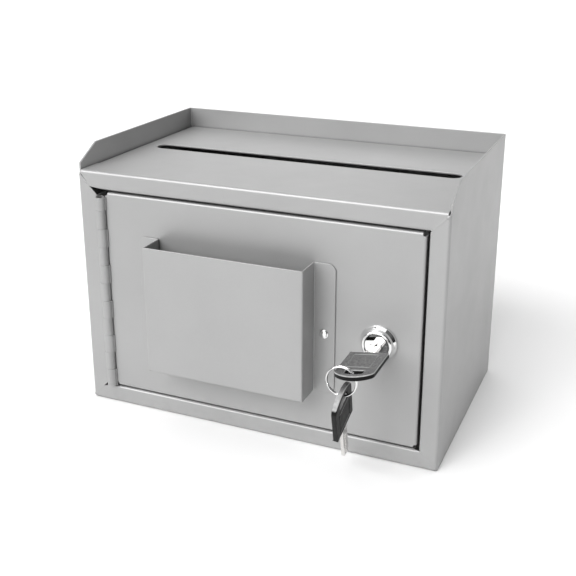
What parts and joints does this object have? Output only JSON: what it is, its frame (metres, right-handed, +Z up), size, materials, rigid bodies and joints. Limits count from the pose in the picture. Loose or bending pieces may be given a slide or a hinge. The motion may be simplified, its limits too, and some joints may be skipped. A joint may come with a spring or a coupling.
{
  "type": "locking drop box",
  "caption": "Small lockable sheet-steel drop box: long slot in a sunken top, hinged front door with a cam lock and keys, and a leaflet pocket on the door.",
  "frame": {"origin": "middle of the case's underside", "axes": "+Z up; +X to the right when facing the door; +Y from the door towards the back wall"},
  "size_m": [0.248, 0.2095, 0.18],
  "materials": {
    "case_paint": "satin silver-grey powder coat",
    "door_paint": "satin silver-grey powder coat",
    "hinge_paint": "satin silver-grey powder coat",
    "pocket_paint": "satin silver-grey powder coat",
    "pin_steel": "plain drawn steel",
    "rivet_metal": "satin",
    "lock_chrome": "bright plating",
    "zinc_plate": "dull zinc plating",
    "wafer_brass": "stamped",
    "spring_steel": "bright wire",
    "key_nickel": "nickel plating",
    "bow_plastic": "moulded black",
    "ring_steel": "bright nickel wire"
  },
  "bodies": {
    "case": {"side_wrap": "case_paint", "bottom_panel": "case_paint", "top_panel": "case_paint", "hinge_frame_leaf": "hinge_paint", "hinge_pin": "pin_steel"},
    "door": {"door_panel": "door_paint", "hinge_door_leaf": "hinge_paint", "leaflet_pocket": "pocket_paint", "pocket_rivets": "rivet_metal", "lock_body": "lock_chrome", "lock_washer": "zinc_plate", "lock_nut": "zinc_plate"},
    "plug": {"lock_plug": "lock_chrome", "stop_washer": "zinc_plate", "lock_cam": "zinc_plate", "cam_washer": "zinc_plate", "cam_screw": "zinc_plate", "wafer_springs": "spring_steel"},
    "wafers": {"lock_wafers": "wafer_brass"},
    "key": {"key_blade": "key_nickel", "key_bow": "bow_plastic"},
    "ring": {"key_ring": "ring_steel"},
    "spare_key": {"spare_key_blade": "key_nickel", "spare_key_bow": "bow_plastic"}
  },
  "joints": [
    {"name": "door_hinge", "type": "hinge", "parent": "case", "child": "door", "pos_m": [-0.1075, -0.0765, 0.08], "axis": [0, 0, -1], "range_deg": [0, 180]},
    {"name": "lock_turn", "type": "hinge", "parent": "door", "child": "plug", "pos_m": [0.0845, -0.076, 0.0795], "axis": [0, -1, 0], "range_deg": [-9, 81]},
    {"name": "wafer_travel", "type": "slide", "parent": "plug", "child": "wafers", "axis": [0.9877, 0, 0.1564], "range_m": [0, 0.00101]},
    {"name": "key_slide", "type": "slide", "parent": "plug", "child": "key", "axis": [0, -1, 0], "range_m": [0, 0.024]},
    {"name": "ring_turn", "type": "hinge", "parent": "key", "child": "ring", "pos_m": [0.07566, -0.1208, 0.0781], "axis": [0, -1, 0], "range_deg": [-81, 9]},
    {"name": "spare_swing", "type": "hinge", "parent": "ring", "child": "spare_key", "pos_m": [0.07726, -0.1208, 0.0649], "axis": [0.9925, 0, -0.1219], "range_deg": [-65, 7]}
  ],
  "couplings": [
    {"joint": "wafer_travel", "follows": "key_slide", "ratio": 0.041667},
    {"joint": "ring_turn", "follows": "lock_turn", "ratio": -1}
  ]
}
